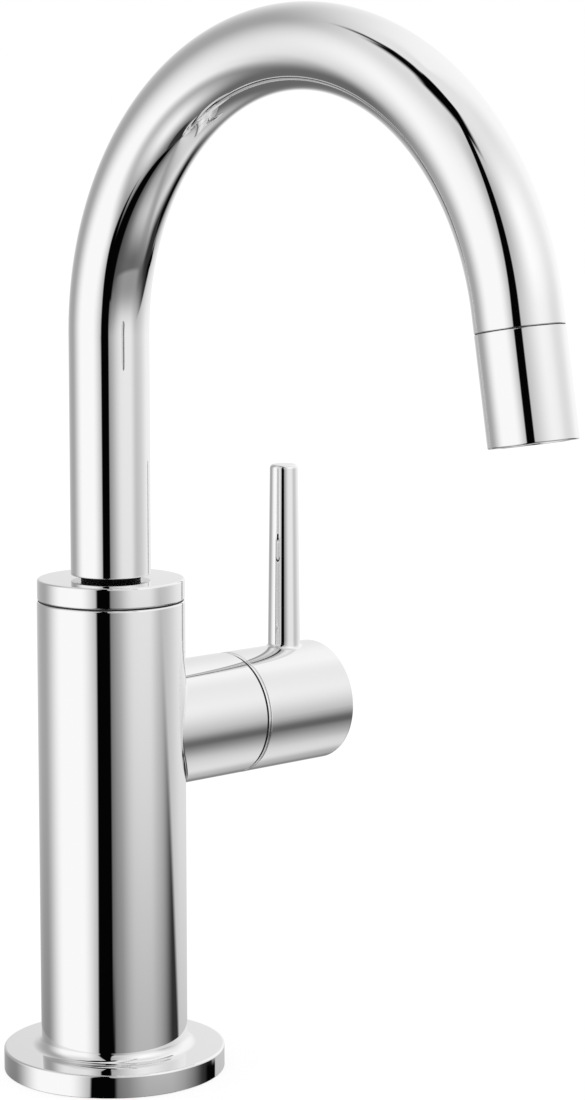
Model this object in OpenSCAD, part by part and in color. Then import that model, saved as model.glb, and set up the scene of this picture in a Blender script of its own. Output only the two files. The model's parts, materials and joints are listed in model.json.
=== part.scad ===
// Deck-mounted beverage faucet: a swivelling hooked spout on a round body, with one side
// handle that turns a ceramic disc cartridge. Millimetres. The origin is on the body axis,
// on the deck. +Z is up, the spout reaches along -Y and the handle stands out along +X.

/* [Body] */
// Outside diameter of the body
body_d = 38.5; // [36:0.5:44]
// Height of the body's top edge above the deck
body_h = 124.9; // [122:0.1:140]
// Wall of the hollow lower body
body_wall = 3.75; // [2.5:0.25:4.5]
// Diameter of the foot flange
flange_d = 58.2; // [54:0.1:70]
// Thickness of the foot flange
flange_h = 5.6; // [4:0.1:8]
// Rounding on the flange's upper edge
flange_edge_r = 0.5; // [0.2:0.1:1.5]
// Radius of the hollow curve between the flange and the body
foot_fillet_r = 3.5; // [1:0.5:5]
// Diameter of the top cap
cap_d = 38.3; // [36:0.1:44]
// Height of the cap above the body
cap_h = 5.6; // [4:0.1:9]
// Rounding on the cap's upper edge
cap_edge_r = 0.4; // [0.2:0.1:1.2]
// Diameter of the cap's threaded plug
cap_plug_d = 32.9; // [28:0.1:33.5]
// Length of the cap's threaded plug
cap_plug_len = 7.7; // [5:0.1:9]
// Thickness of the foot gasket
gasket_t = 1.4; // [1:0.1:2.5]
// Inside diameter of the foot gasket
gasket_id = 34; // [33.5:0.5:42]
// Outside diameter of the foot gasket
gasket_od = 52; // [46:0.5:53]

/* [Hub and handle] */
// Distance from the body's top edge down to the hub axis
hub_drop = 35.3; // [34.5:0.1:38]
// Outside diameter of the hub and the handle
hub_d = 32.7; // [31:0.1:35]
// Distance from the body axis to the end of the fixed hub
sleeve_reach = 40.3; // [39.5:0.1:46]
// Distance from the body axis to the handle's outer end
handle_reach = 72.2; // [70:0.1:80]
// Rounding on the handle's outer edge
handle_edge_r = 0.6; // [0.2:0.1:2]
// Rounding on the two edges beside the trim ring
joint_edge_r = 0.25; // [0.1:0.05:0.4]
// Thickness of the trim ring's bright rim
trim_t = 0.65; // [0.4:0.05:1.5]
// Width of the dark groove on each side of the rim
trim_groove_w = 0.35; // [0.2:0.05:0.8]
// Depth of the two grooves
trim_groove_h = 0.75; // [0.4:0.05:1.2]
// Wall of the handle's cup
handle_wall = 3.1; // [2:0.1:3.5]
// Depth of the handle's cup
handle_cup_depth = 12.4; // [11:0.1:14]
// Diameter of the boss that grips the stem adapter
handle_boss_d = 20; // [18:0.5:22]
// How far the boss lies back inside the cup's mouth
boss_inset = 2.4; // [1.5:0.1:4]
// Diameter of the set screw
set_screw_d = 4; // [3:0.5:5]
// Length of the set screw
set_screw_len = 6.4; // [5:0.1:7]
// Width across the flats of the set screw's hex socket
set_screw_hex = 2; // [1.5:0.5:2.5]

/* [Lever] */
// Distance of the lever from the body axis
lever_x = 61; // [60:0.1:66]
// Height of the lever above the top of the hub
lever_len = 49.65; // [35:0.05:70]
// Diameter of the lever at its foot
lever_base_d = 8.5; // [7:0.1:10]
// Diameter of the lever at its tip
lever_top_d = 7.35; // [5:0.05:10]
// Hollow curve at the lever's foot
lever_fillet_r = 0.9; // [0.3:0.1:1.5]
// Rounding on the lever's tip
lever_edge_r = 0.7; // [0.3:0.1:2]
// Diameter of the lever's threaded stud
stud_d = 5; // [4:0.5:6]
// Length of the lever's threaded stud
stud_len = 9; // [7:0.5:11]

/* [Spout] */
// Outside diameter of the spout tube
tube_d = 20.75; // [19:0.05:23]
// Wall of the spout tube
tube_wall = 1.2; // [0.8:0.1:1.4]
// Height at which the tube starts to bend
bend_z = 193.7; // [170:0.1:230]
// Radius of the bend, at the middle of the tube
bend_r = 71.9; // [50:0.1:90]
// Angle that the tube turns through
bend_angle = 170; // [150:1:180]
// Straight tube between the bend and the outlet
tail_len = 4.3; // [2:0.1:20]
// Length of the outlet housing
outlet_len = 25.9; // [24:0.1:40]
// Rounding on the tube's lower edge and on the outlet's rim
tube_edge_r = 0.4; // [0.2:0.1:0.6]
// Depth of the fine line between the tube and the outlet
outlet_line = 0.15; // [0.1:0.05:0.4]
// Diameter of the black neck ring under the tube
neck_d = 16.5; // [16:0.1:17]
// Height of the black neck ring that shows
neck_gap = 1.2; // [0.6:0.1:3]

/* [Swivel bearing] */
// Diameter of the spout's bearing journal
journal_d = 14; // [13.5:0.1:14.4]
// Bore through the journal
journal_bore = 9.6; // [8:0.1:9.8]
// Length of the journal's plug inside the spout tube
plug_len = 14; // [8:0.5:25]
// Outside diameter of the spout bushing
bushing_d = 19.9; // [19.5:0.1:21]
// Height of the water chamber under the bushing
chamber_h = 7; // [6:0.1:8]
// Metal between the cartridge socket and the water chamber
chamber_web = 3.4; // [2.5:0.1:4]
// Ledge that carries the bushing
bushing_ledge = 1; // [0.6:0.1:1.2]
// How deep the neck ring sits inside the cap
neck_ring_sink = 0.5; // [0.3:0.1:1.5]
// Cord of the spout's O-rings
spout_ring_cord = 1.4; // [1.2:0.1:1.5]
// Distance between the spout's two O-rings
spout_ring_pitch = 4.2; // [3.5:0.1:5]
// Thickness of the retaining clip
clip_t = 1.1; // [0.8:0.1:1.2]
// Outside diameter of the retaining clip
clip_d = 16.4; // [15.6:0.1:16.6]
// Opening in the retaining clip
clip_gap = 5; // [3:0.5:7]

/* [Cartridge] */
// Distance from the body axis to the floor of the cartridge socket
socket_x = 8; // [7:0.1:9]
// Diameter of the cartridge socket
socket_d = 22; // [21.5:0.1:22.5]
// Distance from the body axis to the seat of the cartridge's flange
cart_seat_x = 30; // [29:0.1:31]
// Diameter of the cartridge's flange and of its nut
cart_nut_d = 25.9; // [25:0.1:26.5]
// Thickness of the cartridge's flange
cart_flange_t = 2.5; // [1.5:0.1:3]
// Length of the cartridge nut
cart_nut_len = 6.5; // [4:0.1:7]
// Diameter of the cartridge's neck
cart_neck_d = 13; // [12:0.1:15]
// Wall of the cartridge's barrel
cart_wall = 1.9; // [1.6:0.1:2.1]
// Thickness of the port seal
seal_t = 2.5; // [1.8:0.1:3]
// Diameter of the hole in the port seal
seal_bore = 8.4; // [7.6:0.1:9]
// Thickness of each ceramic disc
disc_t = 3.2; // [2.5:0.1:3.3]
// Width of each disc's port, as an angle
port_angle = 80; // [60:1:84]
// Thickness of the stem's drive plate
drive_t = 3.45; // [3:0.05:3.6]
// Diameter of the valve stem
stem_d = 9; // [8.6:0.1:10]
// Diameter of the stem's end inside the adapter
stem_end_d = 8; // [7:0.1:8.4]
// Length of the stem's end inside the adapter
stem_end_len = 9.5; // [8:0.1:9.9]
// Outside diameter of the stem adapter
adapter_d = 14; // [12.5:0.1:15]
// Cord of the stem's and the barrel's O-rings
cart_ring_cord = 1.1; // [0.9:0.1:1.3]
// Turn of the handle from closed to open
handle_turn = 90; // [60:1:100]
// Diameter of the stop pin
stop_pin_d = 2.2; // [1.6:0.1:2.6]

/* [Outlet] */
// Length of the outlet adapter inside the tube's straight tail
outlet_plug_len = 5; // [3:0.1:5.2]
// Length of the outlet adapter inside the housing
outlet_thread_len = 8; // [6:0.1:9]
// Bore of the outlet adapter
outlet_bore = 14; // [11:0.1:15]
// Thickness of the aerator's gasket
aerator_gasket_t = 1.6; // [1:0.1:2]
// Thickness of the aerator's screen
screen_t = 0.5; // [0.3:0.1:0.8]
// Height of the outlet's inner lip
lip_h = 1.5; // [1:0.1:2.5]
// Inside diameter of the outlet's lip
lip_d = 16.4; // [15:0.1:17]
// How deep the aerator's face lies inside the lip
face_inset = 0.7; // [0.3:0.1:0.9]
// Thickness of the aerator's nozzle plate
nozzle_plate_t = 3; // [2:0.1:4]
// Diameter of each nozzle hole
nozzle_d = 1.2; // [0.8:0.1:1.4]
// Distance between nozzle holes
nozzle_pitch = 2.1; // [1.8:0.1:2.3]
// Rings of nozzle holes around the middle one
nozzle_rings = 3; // [1:1:3]

/* [Inlet and mounting] */
// Diameter of the threaded shank
shank_d = 26; // [24:0.5:27]
// Length of the shank below the deck
shank_len = 58; // [50:1:90]
// Bore of the shank
shank_bore = 12; // [11:0.5:16]
// Length of the shank's threaded head inside the body
head_len = 12; // [8:0.5:20]
// Step between the lower cavity and the head's thread
head_step = 1; // [0.6:0.1:1.2]
// How far the shank's head lies up inside the foot
head_inset = 2; // [1:0.5:4]
// Thickness of the counter that the clamp is set for
deck_t = 30; // [12:1:36]
// Thickness of the rubber washer
rubber_t = 3; // [2:0.5:5]
// Diameter of the rubber washer
rubber_d = 54; // [46:1:60]
// Thickness of the metal washer
washer_t = 1.6; // [1:0.1:3]
// Diameter of the metal washer
washer_d = 52; // [44:1:58]
// Width across the flats of the mounting nut
nut_flats = 36; // [34:1:42]
// Thickness of the mounting nut
nut_t = 9; // [6:0.5:12]
// Outside diameter of the inlet tube
inlet_d = 9.5; // [8:0.1:9.9]
// Wall of the inlet tube
inlet_wall = 0.9; // [0.6:0.1:1.2]
// Depth of the inlet tube's socket in the body
inlet_socket = 8; // [5:0.5:10]
// Metal from the hub axis down to the lower cavity
bridge_h = 25.6; // [24:0.1:30]
// Distance from the shank's end to the inlet tube's end
inlet_drop = 17; // [12:0.5:40]
// Thread diameter of the inlet fitting
fitting_d = 14.3; // [13.5:0.1:17]
// Length of the inlet fitting's thread
fitting_thread_len = 13; // [9:0.5:18]
// Width across the flats of the inlet fitting
fitting_flats = 16; // [15:1:20]
// Thickness of the inlet fitting's hexagon
fitting_hex_t = 6; // [4:0.5:9]

/* [Clearances] */
// Gap between parts that are screwed or pressed together
seat_gap = 0.05; // [0.02:0.01:0.08]
// Gap between parts that turn or slide on each other
run_gap = 0.05; // [0.03:0.01:0.08]
// Gap around the washers on the shank
washer_gap = 0.3; // [0.2:0.1:0.6]

/* [Hidden] */
$fn = 96;

chrome = "silver";
brass = "goldenrod";
copper = "peru";
steel = "lightsteelblue";
black_rubber = "dimgray";
black_plastic = "slategray";
white_ceramic = "ivory";

// Overshoot of a cutting shape past the face that it opens
past = 1;
// Gap between an O-ring and the floor of its groove
ring_float = 0.02;
// Room for an O-ring along its groove
ring_room = 0.4;

body_r = body_d / 2;
flange_r = flange_d / 2;
cap_r = cap_d / 2;
cap_top = body_h + cap_h;
hub_r = hub_d / 2;
hub_z = body_h - hub_drop;
hub_top = hub_z + hub_r;

// Heights inside the body
cavity_r = body_r - body_wall;
head_bore_r = cavity_r + head_step;
head_top = head_inset + head_len;
bridge_z = hub_z - bridge_h;
inlet_top = bridge_z + inlet_socket;
socket_r = socket_d / 2;
chamber_z = hub_z + socket_r + chamber_web;
bushing_z = chamber_z + chamber_h;
bushing_bore_r = bushing_d / 2 + seat_gap;
chamber_r = bushing_bore_r - bushing_ledge;
cap_bore_r = cap_plug_d / 2 + seat_gap;
// Slanted waterway from the cartridge up into the chamber
waterway_r = 2.5;
waterway_end_z = bushing_z - 1;

// Swivel bearing
tube_r = tube_d / 2;
tube_bore_r = tube_r - tube_wall;
tube_z = cap_top + neck_gap;
neck_r = neck_d / 2;
neck_ring_z = cap_top - neck_ring_sink;
journal_r = journal_d / 2;
journal_rise = 2;
journal_z = chamber_z + journal_rise;
ring_floor_r = journal_r - spout_ring_cord;
ring_rise = 4.6;
spout_ring_z = bushing_z + ring_rise;
clip_top = bushing_z - washer_gap;
clip_groove_depth = 0.8;
clip_groove_r = journal_r - clip_groove_depth;

// Cartridge, measured along the hub from the body axis
cart_r = socket_r - seat_gap;
cart_bore_r = cart_r - cart_wall;
cart_end_gap = 1;
cart_skin = 1;
cart_inner_x = socket_x + cart_end_gap;
fixed_disc_x = socket_x + seal_t;
turning_disc_x = fixed_disc_x + disc_t + run_gap;
drive_x = turning_disc_x + disc_t;
cart_end_x = drive_x + drive_t + run_gap;
cart_nut_x = cart_seat_x + cart_flange_t;
neck_past_nut = 0.5;
cart_neck_end = cart_nut_x + cart_nut_len + neck_past_nut;
nut_bore_r = cart_nut_d / 2 + seat_gap;
nut_slot_wall = 2;
disc_gap = 0.15;
disc_r = cart_bore_r - disc_gap;
drive_gap = 0.2;
drive_r = disc_r - drive_gap;
stem_r = stem_d / 2;
stem_end_r = stem_end_d / 2;
stop_r = (stem_r + drive_r) / 2;
stop_skin = 1.05;
stop_depth = drive_t - stop_skin;
// Ring-shaped waterway around the turning disc
channel_h = cart_wall - cart_skin;
port_inner_r = 1.6;
port_outer_r = 6;
stem_ring_back = 3;
stem_ring_x = cart_seat_x - stem_ring_back;
barrel_ring_back = 4;
barrel_ring_x = cart_seat_x - barrel_ring_back;
// Keys of the fixed disc, and the tongues that drive the turning disc
key_w = 3;
key_h = 0.9;
key_angles = [45, 225];
tongue_len = 2;
tongue_angles = [90, 270];

// Handle, measured along the hub from the body axis
trim_x = sleeve_reach + trim_groove_w;
handle_x = trim_x + trim_t + trim_groove_w;
boss_x = handle_x + boss_inset;
cup_end_x = handle_x + handle_cup_depth;
cup_r = hub_r - handle_wall;
adapter_r = adapter_d / 2;
adapter_len = cup_end_x - boss_x;
set_screw_x = boss_x + adapter_len / 2;
set_screw_r = set_screw_d / 2;
screw_bite = 0.5;
screw_tip_r = stem_end_r - screw_bite;
screw_end_r = screw_tip_r + set_screw_len;
stud_r = stud_d / 2;

// Outlet
outlet_r = tube_r;
// The tail starts inside the bend, thinner by a step too small to see
tail_lap = 1;
tail_step = 0.03;
outlet_bore_r = tube_bore_r;
insert_x = outlet_thread_len + aerator_gasket_t + screen_t;
insert_wall = 1.2;
lip_x = outlet_len - lip_h;
lip_r = lip_d / 2;

// Mounting
shank_r = shank_d / 2;
inlet_r = inlet_d / 2;
inlet_end = -shank_len - inlet_drop;
rubber_top = -deck_t;
washer_top = rubber_top - rubber_t;
nut_top = washer_top - washer_t - run_gap;
fitting_r = fitting_d / 2;
fitting_grip = 9;
fitting_top = inlet_end + fitting_grip;
fitting_end = fitting_top - fitting_hex_t - fitting_thread_len;

// Square corner less its rounding, to be cut from an outer corner at the origin
module corner_cut(r) {
    difference() {
        translate([-r, -r]) square(r + past);
        translate([-r, -r]) circle(r);
    }
}

// Hollow corner, to be added to an inner corner at the origin
module corner_fill(r) {
    difference() {
        square(r);
        translate([r, r]) circle(r);
    }
}

// Outline of a rod from z0 to z1 with its upper edge rounded
module rod_outline(r, z0, z1, edge_r) {
    difference() {
        translate([0, z0]) square([r, z1 - z0]);
        translate([r, z1]) corner_cut(edge_r);
    }
}

module ring(r_out, r_in, z0, z1) {
    translate([0, 0, z0]) difference() {
        cylinder(r = r_out, h = z1 - z0);
        translate([0, 0, -past]) cylinder(r = r_in, h = z1 - z0 + 2 * past);
    }
}

module hole(r, z0, z1) {
    translate([0, 0, z0]) cylinder(r = r, h = z1 - z0);
}

module o_ring(r_out, cord, z) {
    translate([0, 0, z]) rotate_extrude() translate([r_out - cord / 2, 0]) circle(cord / 2, $fn = 32);
}

module groove(r_out, r_in, z, width) {
    ring(r_out + past, r_in, z - width / 2, z + width / 2);
}

module hexagon(flats, z0, z1) {
    translate([0, 0, z0]) cylinder(r = flats / sqrt(3), h = z1 - z0, $fn = 6);
}

// Slice of a ring between two angles, counted from +X
module sector(r_out, r_in, a0, a1, z0, z1) {
    translate([0, 0, z0]) rotate([0, 0, a0]) rotate_extrude(angle = a1 - a0)
        translate([r_in, 0]) square([r_out - r_in, z1 - z0]);
}

// Straight drilling between two points of the XZ plane
module drilling(from, to, r) {
    run = to - from;
    translate([from[0], 0, from[1]]) rotate([0, atan2(run[0], run[1]), 0])
        cylinder(r = r, h = norm(run));
}

// Puts a shape drawn along +Z from the origin on the hub axis, running out from the body
module on_hub() {
    translate([0, 0, hub_z]) rotate([0, 90, 0]) children();
}

// Puts a shape drawn along +Z at the line between the tube and the outlet, running outward
module at_outlet() {
    translate([0, -bend_r, bend_z]) rotate([bend_angle, 0, 0]) translate([0, bend_r, tail_len])
        children();
}

module body_shell() {
    color(chrome) difference() {
        union() {
            rotate_extrude() {
                rod_outline(flange_r, 0, flange_h, flange_edge_r);
                translate([body_r, flange_h]) corner_fill(foot_fillet_r);
                square([body_r, body_h]);
            }
            on_hub() rotate_extrude() rod_outline(hub_r, 0, sleeve_reach, joint_edge_r);
        }
        hole(gasket_od / 2, -past, gasket_t);
        hole(head_bore_r, -past, head_top);
        hole(cavity_r, 0, bridge_z);
        hole(inlet_r + seat_gap, 0, inlet_top);
        hole(inlet_r - inlet_wall, 0, hub_z);
        hole(chamber_r, chamber_z, body_h);
        hole(bushing_bore_r, bushing_z, body_h);
        hole(cap_bore_r, body_h - cap_plug_len, body_h + past);
        on_hub() {
            hole(inlet_r - inlet_wall, 0, sleeve_reach);
            hole(socket_r, socket_x, sleeve_reach);
            hole(nut_bore_r, cart_seat_x, sleeve_reach + past);
        }
        drilling([drive_x, hub_z + cart_bore_r], [chamber_r / 2, waterway_end_z], waterway_r);
    }
}

module top_cap() {
    color(chrome) rotate_extrude() difference() {
        union() {
            rod_outline(cap_r, body_h, cap_top, cap_edge_r);
            translate([0, body_h - cap_plug_len]) square([cap_plug_d / 2, cap_plug_len]);
        }
        translate([-past, 0]) square([neck_r + seat_gap + past, cap_top + past]);
        square([bushing_bore_r, body_h]);
    }
}

module base_gasket() {
    color(black_rubber) ring(gasket_od / 2 - seat_gap, gasket_id / 2, 0, gasket_t);
}

module hub_trim_ring() {
    color(chrome) on_hub() difference() {
        union() {
            hole(hub_r - trim_groove_h, sleeve_reach, handle_x - run_gap);
            hole(hub_r - run_gap, trim_x, trim_x + trim_t);
        }
        hole(cup_r, 0, handle_x);
    }
}

module spout_bushing() {
    color(black_plastic) difference() {
        union() {
            hole(bushing_d / 2, bushing_z, body_h);
            hole(neck_r, body_h, neck_ring_z);
        }
        hole(journal_r + run_gap, 0, cap_top);
        groove(bushing_d / 2, bushing_bore_r - spout_ring_cord, spout_ring_z - spout_ring_pitch / 2,
            spout_ring_cord + ring_room);
    }
}

module bushing_o_ring() {
    color(black_rubber) o_ring(bushing_bore_r - ring_float, spout_ring_cord - 2 * ring_float,
        spout_ring_z - spout_ring_pitch / 2);
}

module spout_neck_ring() {
    color(black_plastic) ring(neck_r, journal_r + run_gap, neck_ring_z, tube_z - run_gap);
}

module cartridge_body() {
    color(brass) on_hub() difference() {
        union() {
            hole(cart_r, cart_inner_x, cart_seat_x);
            hole(cart_nut_d / 2, cart_seat_x, cart_nut_x);
            hole(cart_neck_d / 2, cart_nut_x, cart_neck_end);
        }
        hole(cart_bore_r, 0, cart_end_x);
        hole(stem_r + run_gap, 0, cart_neck_end + past);
        groove(cart_r, socket_r - cart_ring_cord, barrel_ring_x, cart_ring_cord + ring_room);
        groove(cart_r, cart_r - channel_h, turning_disc_x + disc_t / 2, disc_t);
        for (a = [0:90:270]) rotate([0, 0, a])
            translate([cart_bore_r - past, -key_w, turning_disc_x])
                cube([cart_wall + 2 * past, 2 * key_w, disc_t]);
        for (a = key_angles) rotate([0, 0, a])
            translate([disc_r - past, -key_w / 2 - seat_gap, 0])
                cube([past + key_h + seat_gap, key_w + 2 * seat_gap, fixed_disc_x + disc_t]);
    }
    color(brass) on_hub() rotate([0, 0, 180]) translate([stop_r, 0, cart_end_x - stop_depth])
        cylinder(d = stop_pin_d, h = stop_depth);
}

module cartridge_nut() {
    color(brass) on_hub() difference() {
        ring(cart_nut_d / 2, cart_neck_d / 2 + seat_gap, cart_nut_x, cart_nut_x + cart_nut_len);
        for (a = [0:90:270]) rotate([0, 0, a])
            translate([cart_neck_d / 2 + nut_slot_wall, -key_w / 2, cart_nut_x + cart_nut_len - key_w])
                cube([cart_nut_d, key_w, key_w + past]);
    }
}

module cartridge_o_ring() {
    color(black_rubber) on_hub()
        o_ring(socket_r - ring_float, cart_ring_cord - 2 * ring_float, barrel_ring_x);
}

module port_seal() {
    color(black_rubber) on_hub() ring(disc_r, seal_bore / 2, socket_x, fixed_disc_x);
}

// Ceramic disc with two ports on opposite sides
module ported_disc(x0, first_port) {
    difference() {
        hole(disc_r, x0, x0 + disc_t);
        for (a = [0, 180])
            sector(port_outer_r, port_inner_r, first_port + a - port_angle / 2,
                first_port + a + port_angle / 2, x0 - past, x0 + disc_t + past);
    }
}

module fixed_disc() {
    color(white_ceramic) on_hub() {
        ported_disc(fixed_disc_x, 90);
        for (a = key_angles) rotate([0, 0, a]) intersection() {
            translate([disc_r - past, -key_w / 2, fixed_disc_x]) cube([past + key_h, key_w, disc_t]);
            hole(disc_r + key_h, fixed_disc_x, fixed_disc_x + disc_t);
        }
    }
}

// Closed at rest: its ports stand across those of the fixed disc
module rotating_disc() {
    color(white_ceramic) on_hub() difference() {
        ported_disc(turning_disc_x, 0);
        for (a = tongue_angles) rotate([0, 0, a])
            translate([drive_r - tongue_len, -key_w / 2, drive_x - disc_t / 2])
                cube([2 * tongue_len, key_w, disc_t]);
    }
}

module valve_stem() {
    color(brass) on_hub() difference() {
        union() {
            hole(drive_r, drive_x, drive_x + drive_t);
            for (a = tongue_angles) rotate([0, 0, a]) intersection() {
                translate([drive_r - tongue_len + seat_gap, -key_w / 2 + seat_gap,
                    drive_x - disc_t / 2 + seat_gap])
                    cube([2 * tongue_len, key_w - 2 * seat_gap, disc_t]);
                hole(drive_r, 0, drive_x + past);
            }
            hole(stem_r, drive_x, boss_x - seat_gap);
            hole(stem_end_r, drive_x, boss_x + stem_end_len);
        }
        sector(stop_r + stop_pin_d / 2 + run_gap, stop_r - stop_pin_d / 2 - run_gap,
            180 - handle_turn - stop_margin(), 180 + stop_margin(),
            drive_x + drive_t - stop_depth, drive_x + drive_t + past);
        groove(stem_r, stem_r + run_gap - cart_ring_cord, stem_ring_x, cart_ring_cord + ring_room);
        screw_bore(screw_tip_r, stem_r + past, set_screw_r + seat_gap);
    }
}

// Half the angle that the stop pin takes up, with its clearance and a degree to spare
function stop_margin() = asin((stop_pin_d / 2 + run_gap) / stop_r) + 1;

module stem_o_ring() {
    color(black_rubber) on_hub()
        o_ring(stem_r + run_gap - ring_float, cart_ring_cord - 2 * ring_float, stem_ring_x);
}

module stem_adapter() {
    color(brass) on_hub() difference() {
        ring(adapter_r, stem_end_r + seat_gap, boss_x, cup_end_x);
        screw_bore(0, adapter_r + past, set_screw_r + seat_gap);
    }
}

// Round hole for the set screw, between two distances below the hub axis
module screw_bore(from, to, r) {
    translate([0, 0, set_screw_x]) rotate([0, 90, 0]) hole(r, from, to);
}

module handle_cap() {
    color(chrome) difference() {
        on_hub() difference() {
            union() {
                difference() {
                    rotate_extrude() difference() {
                        rod_outline(hub_r, handle_x, handle_reach, handle_edge_r);
                        translate([hub_r, handle_x]) mirror([0, 1]) corner_cut(joint_edge_r);
                    }
                    hole(cup_r, handle_x - past, cup_end_x);
                }
                hole(handle_boss_d / 2, boss_x, cup_end_x);
                screw_bore(adapter_r, cup_r + past, 2 * set_screw_r);
            }
            hole(adapter_r + seat_gap, boss_x - past, cup_end_x);
            screw_bore(adapter_r - past, hub_r + past, set_screw_r + seat_gap);
        }
        translate([lever_x, 0, 0]) hole(stud_r + seat_gap, hub_top - stud_len, hub_top + past);
    }
}

module handle_set_screw() {
    color(steel) on_hub() difference() {
        screw_bore(screw_tip_r, screw_end_r, set_screw_r);
        translate([0, 0, set_screw_x]) rotate([0, 90, 0])
            hexagon(set_screw_hex, screw_end_r - set_screw_hex, screw_end_r + past);
    }
}

module lever() {
    base_r = lever_base_d / 2;
    top_r = lever_top_d / 2;
    color(chrome) translate([lever_x, 0, 0]) {
        difference() {
            rotate_extrude() {
                difference() {
                    polygon([[0, hub_z], [base_r, hub_z], [base_r, hub_top], [top_r, hub_top + lever_len],
                        [0, hub_top + lever_len]]);
                    translate([top_r, hub_top + lever_len]) corner_cut(lever_edge_r);
                }
                translate([base_r - past, hub_z]) square([past + lever_fillet_r, hub_r]);
                translate([base_r, hub_top]) corner_fill(lever_fillet_r);
            }
            translate([-hub_r, 0, hub_z]) rotate([0, 90, 0]) cylinder(r = hub_r + ring_float, h = 2 * hub_r);
        }
        hole(stud_r, hub_top - stud_len, hub_top + past);
    }
}

// Path of the spout: riser, bend and tail, with the given radius and overshoot at each end
module spout_path(r, over) {
    hole(r, tube_z - over, bend_z);
    translate([0, -bend_r, bend_z]) {
        rotate([90, 0, 90]) rotate_extrude(angle = bend_angle) translate([bend_r, 0]) circle(r);
        rotate([bend_angle, 0, 0]) translate([0, bend_r, -tail_lap])
            cylinder(r = r - tail_step, h = tail_len + tail_lap + over);
    }
}

module spout_tube() {
    color(chrome) difference() {
        spout_path(tube_r, 0);
        spout_path(tube_bore_r, past);
        translate([0, 0, tube_z]) rotate_extrude() translate([tube_r, 0]) mirror([0, 1])
            corner_cut(tube_edge_r);
        at_outlet() rotate_extrude() translate([tube_r, 0]) corner_cut(outlet_line);
    }
}

module spout_journal() {
    color(brass) difference() {
        union() {
            hole(journal_r, journal_z, tube_z);
            hole(tube_bore_r - seat_gap, tube_z, tube_z + plug_len);
        }
        hole(journal_bore / 2, 0, tube_z + plug_len + past);
        for (side = [-1, 1])
            groove(journal_r, ring_floor_r, spout_ring_z + side * spout_ring_pitch / 2,
                spout_ring_cord + ring_room);
        groove(journal_r, clip_groove_r, clip_top - clip_t / 2, clip_t + 2 * run_gap);
    }
}

module spout_o_rings() {
    color(black_rubber) for (side = [-1, 1])
        o_ring(journal_r + ring_float, spout_ring_cord, spout_ring_z + side * spout_ring_pitch / 2);
}

module spout_clip() {
    color(steel) difference() {
        ring(clip_d / 2, clip_groove_r + ring_float, clip_top - clip_t, clip_top);
        translate([0, -clip_gap / 2, clip_top - clip_t - past]) cube([clip_d, clip_gap, clip_t + 2 * past]);
    }
}

module outlet_adapter() {
    color(brass) at_outlet()
        ring(outlet_bore_r - seat_gap, outlet_bore / 2, -outlet_plug_len, outlet_thread_len);
}

module outlet_housing() {
    color(chrome) at_outlet() difference() {
        rotate_extrude() difference() {
            rod_outline(outlet_r, 0, outlet_len, tube_edge_r);
            translate([outlet_r, 0]) mirror([0, 1]) corner_cut(outlet_line);
        }
        hole(outlet_bore_r, -past, lip_x);
        hole(lip_r, 0, outlet_len + past);
    }
}

module aerator_gasket() {
    color(black_rubber) at_outlet()
        ring(outlet_bore_r - seat_gap, outlet_bore / 2, outlet_thread_len,
            outlet_thread_len + aerator_gasket_t);
}

module aerator_screen() {
    color(steel) at_outlet() hole(outlet_bore_r - 2 * seat_gap, insert_x - screen_t, insert_x);
}

module aerator_insert() {
    face_x = outlet_len - face_inset;
    plate_x = face_x - nozzle_plate_t;
    color(black_plastic) at_outlet() difference() {
        union() {
            hole(outlet_bore_r - seat_gap, insert_x, lip_x);
            hole(lip_r - seat_gap, lip_x, face_x);
        }
        hole(lip_r - insert_wall, insert_x - past, plate_x);
        for (q = [-nozzle_rings:nozzle_rings], s = [-nozzle_rings:nozzle_rings])
            if (abs(q + s) <= nozzle_rings)
                translate([nozzle_pitch * (q + s / 2), nozzle_pitch * s * sqrt(3) / 2, plate_x - past])
                    cylinder(d = nozzle_d, h = nozzle_plate_t + 2 * past, $fn = 24);
    }
}

module threaded_shank() {
    color(brass) difference() {
        union() {
            hole(shank_r, -shank_len, head_inset);
            hole(head_bore_r - seat_gap, head_inset, head_top);
        }
        hole(shank_bore / 2, -shank_len - past, head_top + past);
    }
}

module inlet_tube() {
    color(copper) ring(inlet_r, inlet_r - inlet_wall, inlet_end, inlet_top);
}

module inlet_fitting() {
    color(brass) difference() {
        union() {
            hexagon(fitting_flats, fitting_top - fitting_hex_t, fitting_top);
            hole(fitting_r, fitting_end, fitting_top - fitting_hex_t);
        }
        hole(inlet_r + seat_gap, inlet_end, fitting_top + past);
        hole(inlet_r - inlet_wall, fitting_end - past, fitting_top);
    }
}

module rubber_washer() {
    color(black_rubber) ring(rubber_d / 2, shank_r + washer_gap, washer_top, rubber_top);
}

module metal_washer() {
    color(steel) ring(washer_d / 2, shank_r + washer_gap, washer_top - washer_t, washer_top);
}

module mounting_nut() {
    color(brass) difference() {
        hexagon(nut_flats, nut_top - nut_t, nut_top);
        hole(shank_r + run_gap, nut_top - nut_t - past, nut_top + past);
    }
}

body_shell();
top_cap();
base_gasket();
hub_trim_ring();
spout_bushing();
bushing_o_ring();
spout_neck_ring();
cartridge_body();
cartridge_nut();
cartridge_o_ring();
port_seal();
fixed_disc();
valve_stem();
stem_o_ring();
rotating_disc();
stem_adapter();
handle_cap();
handle_set_screw();
lever();
spout_tube();
spout_journal();
spout_o_rings();
spout_clip();
outlet_adapter();
outlet_housing();
aerator_gasket();
aerator_screen();
aerator_insert();
threaded_shank();
inlet_tube();
inlet_fitting();
rubber_washer();
metal_washer();
mounting_nut();
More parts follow.
